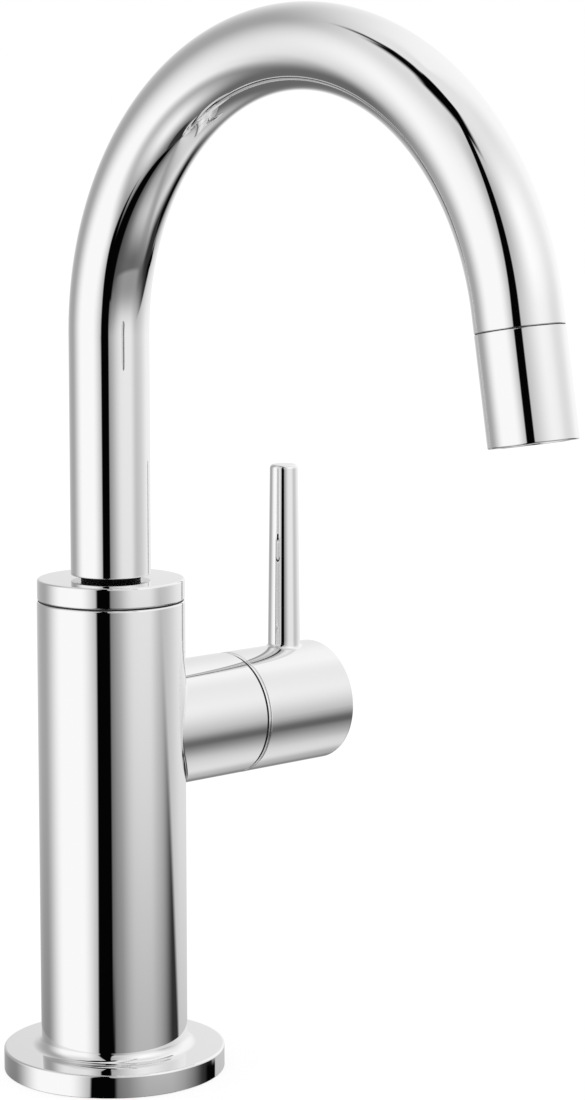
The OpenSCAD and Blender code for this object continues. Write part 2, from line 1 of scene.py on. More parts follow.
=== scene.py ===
"""Deck-mounted beverage faucet in polished chrome, dressed around its packed construction model.

Metres, with the origin on the body axis at deck level. The spout reaches along -Y, the handle along +X.
The pieces that show are modelled here again, the chrome ones fine enough to mirror the studio cleanly.
"""
import json
from math import atan2, cos, pi, radians, sin, sqrt

import bpy
from mathutils import Euler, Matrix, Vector


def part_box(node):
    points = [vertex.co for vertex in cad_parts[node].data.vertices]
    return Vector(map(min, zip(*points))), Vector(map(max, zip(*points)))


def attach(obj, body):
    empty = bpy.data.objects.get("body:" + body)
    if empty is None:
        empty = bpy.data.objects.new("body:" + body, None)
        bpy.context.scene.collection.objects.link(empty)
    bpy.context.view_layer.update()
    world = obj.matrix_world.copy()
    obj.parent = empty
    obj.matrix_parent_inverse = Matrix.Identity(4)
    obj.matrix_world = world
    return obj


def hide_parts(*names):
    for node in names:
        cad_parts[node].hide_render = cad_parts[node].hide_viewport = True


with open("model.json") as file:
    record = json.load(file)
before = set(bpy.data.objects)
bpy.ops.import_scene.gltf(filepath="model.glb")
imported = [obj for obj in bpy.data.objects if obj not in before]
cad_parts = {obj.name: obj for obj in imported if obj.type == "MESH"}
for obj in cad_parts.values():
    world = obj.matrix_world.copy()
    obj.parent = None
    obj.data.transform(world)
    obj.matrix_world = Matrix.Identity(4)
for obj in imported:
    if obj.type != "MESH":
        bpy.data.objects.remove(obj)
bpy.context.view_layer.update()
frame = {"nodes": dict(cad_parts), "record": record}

MM = 0.001

# Sizes taken from the frame
BODY_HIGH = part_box("body_shell")[1]
CAP_LOW, CAP_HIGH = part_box("top_cap")
HANDLE_LOW, HANDLE_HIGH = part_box("handle_cap")
TRIM_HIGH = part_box("hub_trim_ring")[1]
LEVER_LOW, LEVER_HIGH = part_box("lever")
TUBE_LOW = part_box("spout_tube")[0]
SHANK_LOW, SHANK_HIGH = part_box("threaded_shank")
FITTING_LOW, FITTING_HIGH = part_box("inlet_fitting")
NUT_LOW, NUT_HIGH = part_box("mounting_nut")
RUBBER_LOW, RUBBER_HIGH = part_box("rubber_washer")
WASHER_LOW, WASHER_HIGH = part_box("metal_washer")
SUPPLY_LOW, SUPPLY_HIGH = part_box("inlet_tube")
NECK_LOW, NECK_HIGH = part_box("spout_neck_ring")

FLANGE_R = BODY_HIGH.y
BODY_TOP = BODY_HIGH.z
SLEEVE_END = BODY_HIGH.x
HUB_R = (HANDLE_HIGH.z - HANDLE_LOW.z) / 2
HUB_Z = (HANDLE_HIGH.z + HANDLE_LOW.z) / 2
CAP_R = CAP_HIGH.y
LEVER_X = (LEVER_HIGH.x + LEVER_LOW.x) / 2

# Casting. The tops of its flange and of the cap rise a little towards the axis
BODY_R = 19.25 * MM
FLANGE_H = 6 * MM
FLANGE_RISE = 0.35 * MM
FOOT_FILLET = 2.4 * MM
FOOT_FILLET_STEPS = 28
HUB_FILLET = 1.2 * MM
HUB_BAND = 12 * MM
CAVITY_R = 15.5 * MM
CAVITY_TOP = 64 * MM
HEAD_BORE_R = 16.5 * MM
HEAD_TOP = 14 * MM
GASKET_R = 26 * MM
GASKET_H = 1.4 * MM
INLET_BORE_R = 4.8 * MM
INLET_TOP = 72 * MM
CHAMBER_R = 9 * MM
CHAMBER_Z = 104 * MM
SOCKET_X = 8 * MM
SOCKET_R = 11 * MM
SLEEVE_ROOT_R = HUB_R - 2 * MM
SEAT_X = 30 * MM
NUT_BORE_R = 13 * MM
FIT = 0.05 * MM

# Cap, and the black ring in its mouth
CAP_RISE = 0.2 * MM
PLUG_R = 16.45 * MM
BUSHING_BORE_R = 10 * MM
BUSHING_Z = 111 * MM
NECK_BORE_R = 7.8 * MM
NECK_RING_R = 7.75 * MM
NECK_RING_BORE_R = 7.1 * MM

# Hairline seals: their thickness, and how far they stand back from the chrome
SEAL_T = 0.26 * MM
SEAL_INSET = 0.2 * MM
OUTLET_SEAL_T = 0.14 * MM
HUB_SEAL_INSET = 0.35 * MM
BODY_RIM_Z = BODY_TOP - SEAL_T / 2
CAP_RIM_Z = BODY_TOP + SEAL_T / 2

# Handle and lever
CUP_R = 13.25 * MM
CUP_END = 54.05 * MM
BOSS_X = 44.05 * MM
BOSS_R = 10 * MM
ADAPTER_BORE_R = 7.05 * MM
SCREW_X = 49.05 * MM
SCREW_BORE_R = 2.05 * MM
SCREW_BAND = 4 * MM
LEVER_BASE_R = 4.36 * MM
LEVER_TIP_R = 3.8 * MM
LEVER_SHIFT = 0.24 * MM
LEVER_FILLET = 0.9 * MM
STUD_R = 2.5 * MM

# Trim ring between hub and handle: its rim stands between two grooves
RIM_R = TRIM_HIGH.y
RIM_X = 40.86 * MM
RIM_T = 0.6 * MM
GROOVE_H = 0.75 * MM

# Spout
TUBE_R = 10.375 * MM
TUBE_WALL = 1.2 * MM
TUBE_BORE_R = TUBE_R - TUBE_WALL
TUBE_END = TUBE_LOW.z - 0.18 * MM
COLLAR_T = 0.15 * MM
BEND_Z = 193.7 * MM
BEND_R = 71.9 * MM
BEND_ANGLE = radians(170)
TAIL_LEN = 4.3 * MM
OUTLET_LEN = 25.9 * MM
LIP_R = 8.2 * MM
LIP_H = 1.5 * MM

# Mounting hardware
SHANK_R = 13 * MM
SHANK_BORE_R = 6 * MM
SHANK_PITCH = 1.5 * MM
SHANK_HEAD_Z = 2 * MM
FITTING_R = 7.15 * MM
FITTING_PITCH = 1.06 * MM
FITTING_FLATS = 16 * MM
FITTING_HEX_H = 6 * MM
FITTING_CHAMFER = 1 * MM
FITTING_FLARE = 1.8 * MM
FITTING_FLARE_H = 2 * MM
NUT_FLATS = 36 * MM
NUT_CHAMFER = 2 * MM
NUT_MOUTH = 0.8 * MM
WASHER_FIT = 0.3 * MM
SUPPLY_WALL = 0.9 * MM

# Edge roundings
LARGE_RIM_ROUND = 0.6 * MM
FLANGE_FOOT_ROUND = 0.2 * MM
SLEEVE_ROUND = 0.25 * MM
CAP_FOOT_ROUND = 0.4 * MM
CAP_MOUTH_ROUND = 0.15 * MM
TRIM_ROUND = 0.08 * MM
HANDLE_START_ROUND = 0.35 * MM
LEVER_TIP_ROUND = 1.1 * MM
TUBE_ROUND = 0.25 * MM
OUTLET_ROUND = 0.4 * MM
LIP_ROUND = 0.15 * MM
RUBBER_ROUND = 0.5 * MM
WASHER_ROUND = 0.25 * MM
SUPPLY_ROUND = 0.2 * MM

# Sides of the round pieces, and steps along the bend
AROUND = 256
TUBE_SIDES = 192
LEVER_SIDES = 160
RING_SIDES = 128
SHANK_SIDES = 96
FITTING_SIDES = 64
SCREW_SIDES = 64
BEND_STEPS = 136

# How near points lie that are one, and how far a cutter stands out
SAME_POINT = 0.001 * MM
PAST = 1 * MM


def feed(tree, node, inputs):
    """Fills inputs of a node, each given as a value, an output, or a node, which means its first output."""
    for key, value in inputs.items():
        if isinstance(value, bpy.types.Node):
            value = value.outputs[0]
        if isinstance(value, bpy.types.NodeSocket):
            tree.links.new(value, node.inputs[key])
        else:
            node.inputs[key].default_value = value


def add_node(tree, kind, inputs=None, **settings):
    """Adds a node, sets its properties and fills its inputs."""
    node = tree.nodes.new(kind)
    for name, value in settings.items():
        setattr(node, name, value)
    feed(tree, node, inputs or {})
    return node


def colour(code):
    """sRGB hex to the linear colour that a shader takes."""
    parts = [int(code[i:i + 2], 16) / 255 for i in (1, 3, 5)]
    return [c / 12.92 if c <= 0.04045 else ((c + 0.055) / 1.055) ** 2.4 for c in parts] + [1.0]


def new_material(name):
    material = bpy.data.materials.new(name)
    material.use_nodes = True
    tree = material.node_tree
    return material, tree, tree.nodes["Principled BSDF"]


def mottling(tree, size, detail=3.0, stretch=(1, 1, 1)):
    """Random pattern fixed to the piece, with spots about size across, in metres. A stretch under 1 along an
    axis draws them out along it."""
    where = add_node(tree, "ShaderNodeTexCoord").outputs["Object"]
    stretched = add_node(tree, "ShaderNodeMapping", {"Vector": where, "Scale": stretch})
    return add_node(tree, "ShaderNodeTexNoise", {"Vector": stretched, "Scale": 1 / size, "Detail": detail})


def polished_chrome():
    """Chrome plated on buffed brass: a cold, light grey mirror, with the faintest haze where it was wiped."""
    material, tree, shader = new_material("polished_chrome")
    haze = add_node(tree, "ShaderNodeMapRange", {"Value": mottling(tree, 14 * MM), "To Min": 0.006,
                                                 "To Max": 0.02})
    feed(tree, shader, {"Base Color": colour("#E8E8E8"), "Metallic": 1.0, "Roughness": haze})
    return material


def turned_brass():
    """Brass bar, turned and left bare: fine tool rings round every piece, and a slightly dull warm yellow."""
    material, tree, shader = new_material("turned_brass")
    tarnish = mottling(tree, 9 * MM)
    tint = add_node(tree, "ShaderNodeMix", {"Factor": tarnish, "A": colour("#E6CC8A"),
                                            "B": colour("#D6B566")}, data_type="RGBA")
    sheen = add_node(tree, "ShaderNodeMapRange", {"Value": tarnish, "To Min": 0.2, "To Max": 0.36})
    # A 0.12 mm feed per turn, drawn at 1.9 mm, or 0.3 mm for each radian of the wave, so that the rings show
    where = add_node(tree, "ShaderNodeTexCoord").outputs["Object"]
    rings = add_node(tree, "ShaderNodeTexWave", {"Vector": where, "Scale": 1 / (20 * 0.3 * MM),
                                                 "Distortion": 0.4}, bands_direction="Z")
    relief = add_node(tree, "ShaderNodeBump", {"Height": rings.outputs["Fac"], "Distance": 0.003 * MM,
                                               "Strength": 0.4})
    feed(tree, shader, {"Base Color": tint.outputs[2], "Metallic": 1.0, "Roughness": sheen, "Normal": relief})
    return material


def drawn_copper():
    """Hard drawn copper tube: pink metal with long faint die lines and brownish patches of oxide."""
    material, tree, shader = new_material("drawn_copper")
    oxide = add_node(tree, "ShaderNodeMapRange", {"Value": mottling(tree, 12 * MM, 4.0), "To Min": -0.4,
                                                  "To Max": 1.3})
    tint = add_node(tree, "ShaderNodeMix", {"Factor": oxide, "A": colour("#E0A080"),
                                            "B": colour("#A8664A")}, data_type="RGBA")
    lines = mottling(tree, 0.4 * MM, 2.0, (1, 1, 0.02))
    sheen = add_node(tree, "ShaderNodeMapRange", {"Value": lines, "To Min": 0.22, "To Max": 0.42})
    feed(tree, shader, {"Base Color": tint.outputs[2], "Metallic": 1.0, "Roughness": sheen})
    return material


def stamped_steel():
    """Stainless sheet and wire, tumbled after stamping: grey, satin, with small random scuffs."""
    material, tree, shader = new_material("stamped_steel")
    scuffs = mottling(tree, 0.8 * MM, 5.0)
    tint = add_node(tree, "ShaderNodeMix", {"Factor": scuffs, "A": colour("#D2D3D5"),
                                            "B": colour("#B4B6B9")}, data_type="RGBA")
    sheen = add_node(tree, "ShaderNodeMapRange", {"Value": scuffs, "To Min": 0.2, "To Max": 0.4})
    relief = add_node(tree, "ShaderNodeBump", {"Height": scuffs, "Distance": 0.01 * MM, "Strength": 0.3})
    feed(tree, shader, {"Base Color": tint.outputs[2], "Metallic": 1.0, "Roughness": sheen, "Normal": relief})
    return material


def moulded_rubber():
    """Black EPDM: matt, with the fine grain of a sand-blasted mould and a trace of grey bloom."""
    material, tree, shader = new_material("moulded_rubber")
    bloom = mottling(tree, 8 * MM)
    tint = add_node(tree, "ShaderNodeMix", {"Factor": bloom, "A": colour("#161617"),
                                            "B": colour("#262627")}, data_type="RGBA")
    sheen = add_node(tree, "ShaderNodeMapRange", {"Value": bloom, "To Min": 0.62, "To Max": 0.8})
    sand = mottling(tree, 0.25 * MM, 2.0)
    relief = add_node(tree, "ShaderNodeBump", {"Height": sand, "Distance": 0.02 * MM, "Strength": 0.5})
    feed(tree, shader, {"Base Color": tint.outputs[2], "IOR": 1.52, "Roughness": sheen, "Normal": relief})
    return material


def black_acetal():
    """Moulded acetal: deep black with the soft, waxy gloss of a slippery plastic."""
    material, tree, shader = new_material("black_acetal")
    grain = mottling(tree, 0.5 * MM, 4.0)
    sheen = add_node(tree, "ShaderNodeMapRange", {"Value": grain, "To Min": 0.42, "To Max": 0.55})
    relief = add_node(tree, "ShaderNodeBump", {"Height": grain, "Distance": 0.008 * MM, "Strength": 0.4})
    feed(tree, shader, {"Base Color": colour("#080808"), "IOR": 1.48, "Specular IOR Level": 0.1,
                        "Roughness": sheen, "Normal": relief})
    return material


def lapped_ceramic():
    """Alumina disc lapped flat: dense ivory white, almost glossy, with a faint cloud of grain."""
    material, tree, shader = new_material("lapped_ceramic")
    cloud = mottling(tree, 1.2 * MM, 4.0)
    tint = add_node(tree, "ShaderNodeMix", {"Factor": cloud, "A": colour("#F0EDE4"),
                                            "B": colour("#E2DDD0")}, data_type="RGBA")
    sheen = add_node(tree, "ShaderNodeMapRange", {"Value": cloud, "To Min": 0.12, "To Max": 0.22})
    feed(tree, shader, {"Base Color": tint.outputs[2], "IOR": 1.76, "Roughness": sheen})
    return material


def make_materials():
    """One finish for each material slot of the record, put on the frame's own pieces too."""
    materials = {"chrome": polished_chrome(), "brass": turned_brass(), "copper": drawn_copper(),
                 "steel": stamped_steel(), "rubber": moulded_rubber(), "black_plastic": black_acetal(),
                 "ceramic": lapped_ceramic()}
    for part in frame["record"]["subparts"]:
        for holder in frame["nodes"][part["node"]].material_slots:
            holder.material = materials[part["material_slot"]]
    return materials


def deselect_all():
    if bpy.context.mode != "OBJECT":
        bpy.ops.object.mode_set(mode="OBJECT")
    bpy.ops.object.select_all(action="DESELECT")


def use(piece):
    """Makes piece the one selected and active object."""
    deselect_all()
    piece.select_set(True)
    bpy.context.view_layer.objects.active = piece


def pick_edges(piece, wanted):
    """Selects, in edit mode, the edges whose two end points both pass the test."""
    use(piece)
    mesh = piece.data
    bpy.ops.object.mode_set(mode="EDIT")
    bpy.ops.mesh.select_mode(type="EDGE")
    bpy.ops.mesh.select_all(action="DESELECT")
    bpy.ops.object.mode_set(mode="OBJECT")
    inside = [wanted(v.co) for v in mesh.vertices]
    for edge in mesh.edges:
        edge.select = inside[edge.vertices[0]] and inside[edge.vertices[1]]
    bpy.ops.object.mode_set(mode="EDIT")


def turned(name, steps, sides=AROUND, filled=True):
    """A circle pulled through (radius, height) steps, as on a lathe. If filled, it is closed with flat ends,
    and else it runs back to its first step and is a ring."""
    deselect_all()
    (radius, height), rest = steps[0], list(steps[1:])
    bpy.ops.mesh.primitive_circle_add(vertices=sides, radius=radius, location=(0, 0, height))
    piece = bpy.context.object
    piece.name = name
    bpy.ops.object.transform_apply(location=True)
    bpy.ops.object.mode_set(mode="EDIT")
    bpy.ops.mesh.select_all(action="SELECT")
    if filled:
        bpy.ops.mesh.edge_face_add()
        bpy.ops.mesh.select_mode(type="EDGE")
        bpy.ops.mesh.select_all(action="SELECT")
    for new_radius, new_height in rest + ([] if filled else [steps[0]]):
        bpy.ops.mesh.extrude_edges_move(TRANSFORM_OT_translate={"value": (0, 0, new_height - height)})
        scale = new_radius / radius
        bpy.ops.transform.resize(value=(scale, scale, 1), center_override=(0, 0, new_height))
        radius, height = new_radius, new_height
    if filled:
        bpy.ops.mesh.edge_face_add()
    bpy.ops.mesh.select_all(action="SELECT")
    bpy.ops.mesh.remove_doubles(threshold=SAME_POINT)
    bpy.ops.mesh.normals_make_consistent(inside=False)
    bpy.ops.object.mode_set(mode="OBJECT")
    return piece


def round_ring(piece, radius, height, size, segments):
    """Bevels the ring of edges at one radius and height of a turned piece."""
    pick_edges(piece, lambda p: (abs(sqrt(p.x * p.x + p.y * p.y) - radius) < 2 * SAME_POINT
                                 and abs(p.z - height) < 2 * SAME_POINT))
    bpy.ops.mesh.bevel(offset=size, offset_type="OFFSET", segments=segments, profile=0.5, affect="EDGES")
    bpy.ops.object.mode_set(mode="OBJECT")


def place(piece, turn=(0, 0, 0), to=(0, 0, 0)):
    """Turns and moves the mesh, and leaves its object at the origin."""
    use(piece)
    piece.rotation_euler = Euler(turn)
    piece.location = to
    bpy.ops.object.transform_apply(location=True, rotation=True, scale=True)


def on_hub(piece):
    place(piece, (0, pi / 2, 0), (0, 0, HUB_Z))


def outlet_point():
    """Middle of the line between the spout tube and the outlet."""
    bend_middle = Vector((0, -BEND_R, BEND_Z))
    return bend_middle + Euler((BEND_ANGLE, 0, 0)).to_matrix() @ Vector((0, BEND_R, TAIL_LEN))


def on_outlet(piece):
    place(piece, (BEND_ANGLE, 0, 0), outlet_point())


def cut(piece, cutter, operation="DIFFERENCE"):
    """Cuts piece with cutter, or does the boolean that operation names, and removes the cutter."""
    use(piece)
    boolean = piece.modifiers.new("cut", "BOOLEAN")
    boolean.operation = operation
    boolean.solver = "EXACT"
    boolean.object = cutter
    bpy.ops.object.modifier_apply(modifier=boolean.name)
    bpy.data.objects.remove(cutter)


def join(piece, *others):
    use(piece)
    for other in others:
        other.select_set(True)
    bpy.ops.object.join()
    return piece


def finish(piece, body, slot, materials, *nodes, angle=30):
    """Smooths the piece, evens its normals towards its large faces, gives it its slot's finish, and puts it
    in the place of its CAD nodes."""
    use(piece)
    bpy.ops.object.shade_smooth_by_angle(angle=radians(angle))
    weighted = piece.modifiers.new("weighted", "WEIGHTED_NORMAL")
    weighted.mode = "FACE_AREA"
    weighted.weight = 50
    weighted.keep_sharp = True
    bpy.ops.object.modifier_apply(modifier=weighted.name)
    piece.data.materials.clear()
    piece.data.materials.append(materials[slot])
    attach(piece, body)
    if nodes:
        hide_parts(*nodes)


def blend_point(angle, turn, branch_r, trunk_r, blend_r):
    """Point of the hollow curve where a round branch, along Z, leaves a round trunk, along X. A ball of
    blend_r rolls round the corner: turn is 0 where it touches the trunk and 1 at the branch."""
    reach = branch_r + blend_r
    ball = Vector((reach * cos(angle), reach * sin(angle), 0))
    ball.z = sqrt((trunk_r + blend_r) ** 2 - ball.y ** 2)
    to_trunk = Vector((0, ball.y, ball.z)).normalized()
    to_branch = Vector((cos(angle), sin(angle), 0))
    return ball - blend_r * to_trunk.slerp(to_branch, turn)


def branch(name, rings, sides):
    """A circle extruded to a tube, whose rings are then laid out, each by its own function of the angle."""
    deselect_all()
    bpy.ops.mesh.primitive_circle_add(vertices=sides, radius=1, location=(0, 0, 0))
    piece = bpy.context.object
    piece.name = name
    bpy.ops.object.mode_set(mode="EDIT")
    bpy.ops.mesh.select_all(action="SELECT")
    for _ in rings[1:]:
        bpy.ops.mesh.extrude_edges_move(TRANSFORM_OT_translate={"value": (0, 0, 1)})
    bpy.ops.object.mode_set(mode="OBJECT")
    for vertex in piece.data.vertices:
        vertex.co = rings[round(vertex.co.z)](atan2(vertex.co.y, vertex.co.x))
    return piece


def flat_ring(radius, height):
    return lambda angle: Vector((radius * cos(angle), radius * sin(angle), height))


def saddle_ring(radius, trunk_r):
    """Ring that lies on the trunk."""
    return lambda angle: Vector((radius * cos(angle), radius * sin(angle),
                                 sqrt(trunk_r ** 2 - (radius * sin(angle)) ** 2)))


def blend_rings(branch_r, trunk_r, blend_r, count):
    return [lambda angle, turn=i / count: blend_point(angle, turn, branch_r, trunk_r, blend_r)
            for i in range(count + 1)]


def close_up(piece, ends_filled):
    """Merges coinciding points, fills open ends if asked, and turns all faces outwards."""
    use(piece)
    bpy.ops.object.mode_set(mode="EDIT")
    bpy.ops.mesh.select_all(action="SELECT")
    bpy.ops.mesh.remove_doubles(threshold=SAME_POINT)
    if ends_filled:
        bpy.ops.mesh.select_all(action="DESELECT")
        bpy.ops.mesh.select_mode(type="EDGE")
        bpy.ops.mesh.select_non_manifold(extend=False, use_wire=False, use_boundary=True,
                                         use_multi_face=False, use_non_contiguous=False, use_verts=False)
        bpy.ops.mesh.edge_face_add()
    bpy.ops.mesh.select_all(action="SELECT")
    bpy.ops.mesh.normals_make_consistent(inside=False)
    bpy.ops.object.mode_set(mode="OBJECT")


def make_body(materials):
    """Body, foot and fixed hub in one casting, hollow as in CAD but without the drilled waterways."""
    foot_z = FLANGE_H + FLANGE_RISE
    body = turned("faucet_body", [
        (INLET_BORE_R, INLET_TOP), (INLET_BORE_R, CAVITY_TOP), (CAVITY_R, CAVITY_TOP), (CAVITY_R, HEAD_TOP),
        (HEAD_BORE_R, HEAD_TOP), (HEAD_BORE_R, GASKET_H), (GASKET_R, GASKET_H), (GASKET_R, 0),
        (FLANGE_R, 0), (FLANGE_R, FLANGE_H), (BODY_R, foot_z), (BODY_R, HUB_Z - HUB_BAND),
        (BODY_R, HUB_Z + HUB_BAND), (BODY_R, BODY_RIM_Z), (PLUG_R + FIT, BODY_RIM_Z),
        (PLUG_R + FIT, CAP_LOW.z), (BUSHING_BORE_R, CAP_LOW.z), (BUSHING_BORE_R, BUSHING_Z),
        (CHAMBER_R, BUSHING_Z), (CHAMBER_R, CHAMBER_Z)])
    round_ring(body, BODY_R, foot_z, FOOT_FILLET, FOOT_FILLET_STEPS)
    round_ring(body, FLANGE_R, FLANGE_H, LARGE_RIM_ROUND, 6)
    round_ring(body, FLANGE_R, 0, FLANGE_FOOT_ROUND, 3)
    round_ring(body, BODY_R, BODY_RIM_Z, LARGE_RIM_ROUND, 7)
    deselect_all()
    bpy.ops.mesh.primitive_cylinder_add(vertices=AROUND, radius=SOCKET_R, depth=SEAT_X - SOCKET_X,
                                        location=((SEAT_X + SOCKET_X) / 2, 0, HUB_Z), rotation=(0, pi / 2, 0))
    cut(body, bpy.context.object)
    sleeve_rings = [flat_ring(SLEEVE_ROOT_R, SOCKET_X)]
    sleeve_rings += blend_rings(HUB_R, BODY_R, HUB_FILLET, 10)
    sleeve_rings += [flat_ring(radius, height) for radius, height in (
        (HUB_R, SLEEVE_END), (NUT_BORE_R, SLEEVE_END), (NUT_BORE_R, SEAT_X), (SOCKET_R, SEAT_X),
        (SOCKET_R, SOCKET_X), (SLEEVE_ROOT_R, SOCKET_X))]
    sleeve = branch("hub_sleeve", sleeve_rings, AROUND)
    close_up(sleeve, False)
    round_ring(sleeve, HUB_R, SLEEVE_END, SLEEVE_ROUND, 3)
    on_hub(sleeve)
    finish(join(body, sleeve), "body", "chrome", materials, "body_shell", angle=25)


def make_cap(materials):
    """Cap screwed into the body, with the mouth that the spout stands in."""
    neck_z = CAP_HIGH.z + CAP_RISE
    cap = turned("top_cap_shell", [
        (BUSHING_BORE_R, CAP_LOW.z), (PLUG_R, CAP_LOW.z), (PLUG_R, CAP_RIM_Z), (CAP_R, CAP_RIM_Z),
        (CAP_R, CAP_HIGH.z), (NECK_BORE_R, neck_z), (NECK_BORE_R, BODY_TOP), (BUSHING_BORE_R, BODY_TOP)],
        filled=False)
    round_ring(cap, CAP_R, CAP_HIGH.z, LARGE_RIM_ROUND, 7)
    round_ring(cap, CAP_R, CAP_RIM_Z, CAP_FOOT_ROUND, 5)
    round_ring(cap, NECK_BORE_R, neck_z, CAP_MOUTH_ROUND, 3)
    finish(cap, "body", "chrome", materials, "top_cap")


def make_seals(materials):
    """Flat black seals that show as hairlines: under the cap, before the outlet and beside the trim ring."""
    cap_seal = turned("cap_seal", [
        (PLUG_R + FIT, CAP_RIM_Z - SEAL_T), (CAP_R - SEAL_INSET, CAP_RIM_Z - SEAL_T),
        (CAP_R - SEAL_INSET, CAP_RIM_Z), (PLUG_R + FIT, CAP_RIM_Z)], RING_SIDES, filled=False)
    finish(cap_seal, "body", "rubber", materials)
    outlet_seal = turned("outlet_seal", [
        (TUBE_BORE_R, 0), (TUBE_R - SEAL_INSET, 0), (TUBE_R - SEAL_INSET, OUTLET_SEAL_T),
        (TUBE_BORE_R, OUTLET_SEAL_T)], RING_SIDES, filled=False)
    on_outlet(outlet_seal)
    finish(outlet_seal, "spout", "rubber", materials)
    hub_seal = turned("hub_seal", [
        (HUB_R - GROOVE_H, SLEEVE_END), (HUB_R - HUB_SEAL_INSET, SLEEVE_END), (HUB_R - HUB_SEAL_INSET, RIM_X),
        (HUB_R - GROOVE_H, RIM_X)], RING_SIDES, filled=False)
    on_hub(hub_seal)
    finish(hub_seal, "body", "rubber", materials)


def make_neck_ring(materials):
    """Black ring in the gap between the cap and the spout tube."""
    low, high = NECK_LOW.z, NECK_HIGH.z
    ring = turned("neck_ring", [(NECK_RING_BORE_R, low), (NECK_RING_R, low), (NECK_RING_R, high),
                                (NECK_RING_BORE_R, high)], RING_SIDES, filled=False)
    finish(ring, "body", "black_plastic", materials, "spout_neck_ring")


def make_trim_ring(materials):
    """Bright rim between two grooves, where the hub ends and the handle starts."""
    core_r = HUB_R - GROOVE_H
    ring = turned("trim_ring", [
        (CUP_R, SLEEVE_END), (core_r, SLEEVE_END), (core_r, RIM_X), (RIM_R, RIM_X), (RIM_R, RIM_X + RIM_T),
        (core_r, RIM_X + RIM_T), (core_r, TRIM_HIGH.x), (CUP_R, TRIM_HIGH.x)], filled=False)
    for x in (RIM_X, RIM_X + RIM_T):
        round_ring(ring, RIM_R, x, TRIM_ROUND, 2)
    on_hub(ring)
    finish(ring, "body", "chrome", materials, "hub_trim_ring")


def make_handle(materials):
    """Cup that turns on the hub, with its boss and the screw's hole. The lever's stud is sunk in it."""
    start, end = HANDLE_LOW.x, HANDLE_HIGH.x
    handle = turned("handle_shell", [
        (ADAPTER_BORE_R, CUP_END), (ADAPTER_BORE_R, BOSS_X), (BOSS_R, BOSS_X), (BOSS_R, CUP_END),
        (CUP_R, CUP_END), (CUP_R, start), (HUB_R, start), (HUB_R, SCREW_X - SCREW_BAND),
        (HUB_R, SCREW_X + SCREW_BAND), (HUB_R, end)])
    round_ring(handle, HUB_R, end, LARGE_RIM_ROUND, 6)
    round_ring(handle, HUB_R, start, HANDLE_START_ROUND, 4)
    on_hub(handle)
    # A bridge from the cup's wall to its boss, and then the screw's hole through both
    for radius, top, bottom, operation in ((2 * SCREW_BORE_R, BOSS_R, CUP_R, "UNION"),
                                           (SCREW_BORE_R, ADAPTER_BORE_R, HUB_R, "DIFFERENCE")):
        middle = (SCREW_X, 0, HUB_Z - (bottom + top) / 2)
        deselect_all()
        bpy.ops.mesh.primitive_cylinder_add(vertices=SCREW_SIDES, radius=radius, location=middle,
                                            depth=bottom - top + 2 * PAST)
        cut(handle, bpy.context.object, operation)
    finish(handle, "handle", "chrome", materials, "handle_cap", angle=25)


def make_lever(materials):
    """Slim tapered lever: its foot spreads onto the handle in a small hollow curve."""
    hub_top = HANDLE_HIGH.z - HUB_Z
    tip = LEVER_HIGH.z - HUB_Z
    rings = [flat_ring(STUD_R, LEVER_LOW.z - HUB_Z), saddle_ring(STUD_R, HUB_R)]
    rings += blend_rings(LEVER_BASE_R, HUB_R, LEVER_FILLET, 8)
    rings += [flat_ring(LEVER_BASE_R, hub_top + 2 * LEVER_FILLET), flat_ring(LEVER_TIP_R, tip)]
    lever = branch("lever_rod", rings, LEVER_SIDES)
    close_up(lever, True)
    round_ring(lever, LEVER_TIP_R, tip, LEVER_TIP_ROUND, 8)
    place(lever, to=(LEVER_X + LEVER_SHIFT, 0, HUB_Z))
    finish(lever, "handle", "chrome", materials, "lever")


def make_spout(materials):
    """Riser, bend and straight tail of one drawn tube."""
    deselect_all()
    bpy.ops.mesh.primitive_circle_add(vertices=TUBE_SIDES, radius=TUBE_R, location=(0, 0, TUBE_END))
    spout = bpy.context.object
    spout.name = "spout_pipe"
    bpy.ops.object.transform_apply(location=True)
    bpy.ops.object.mode_set(mode="EDIT")
    bpy.ops.mesh.select_all(action="SELECT")
    bpy.ops.mesh.extrude_edges_move(TRANSFORM_OT_translate={"value": (0, 0, BEND_Z - TUBE_END)})
    bpy.ops.mesh.spin(steps=BEND_STEPS, angle=BEND_ANGLE, center=(0, -BEND_R, BEND_Z), axis=(-1, 0, 0))
    tail = Euler((BEND_ANGLE, 0, 0)).to_matrix() @ Vector((0, 0, TAIL_LEN))
    bpy.ops.mesh.extrude_edges_move(TRANSFORM_OT_translate={"value": tail})
    bpy.ops.mesh.select_all(action="SELECT")
    bpy.ops.mesh.remove_doubles(threshold=SAME_POINT)
    bpy.ops.mesh.normals_make_consistent(inside=False)
    bpy.ops.object.mode_set(mode="OBJECT")
    wall = spout.modifiers.new("wall", "SOLIDIFY")
    wall.thickness = TUBE_WALL
    wall.offset = -1
    bpy.ops.object.modifier_apply(modifier=wall.name)
    round_ring(spout, TUBE_R, TUBE_END, TUBE_ROUND, 4)
    end, axis = outlet_point(), tail.normalized()
    pick_edges(spout, lambda p: (abs((p - end).dot(axis)) < 2 * SAME_POINT
                                 and abs((p - end).length - TUBE_R) < 5 * SAME_POINT))
    bpy.ops.mesh.bevel(offset=TUBE_ROUND, offset_type="OFFSET", segments=3, profile=0.5, affect="EDGES")
    bpy.ops.object.mode_set(mode="OBJECT")
    finish(spout, "spout", "chrome", materials, "spout_tube")


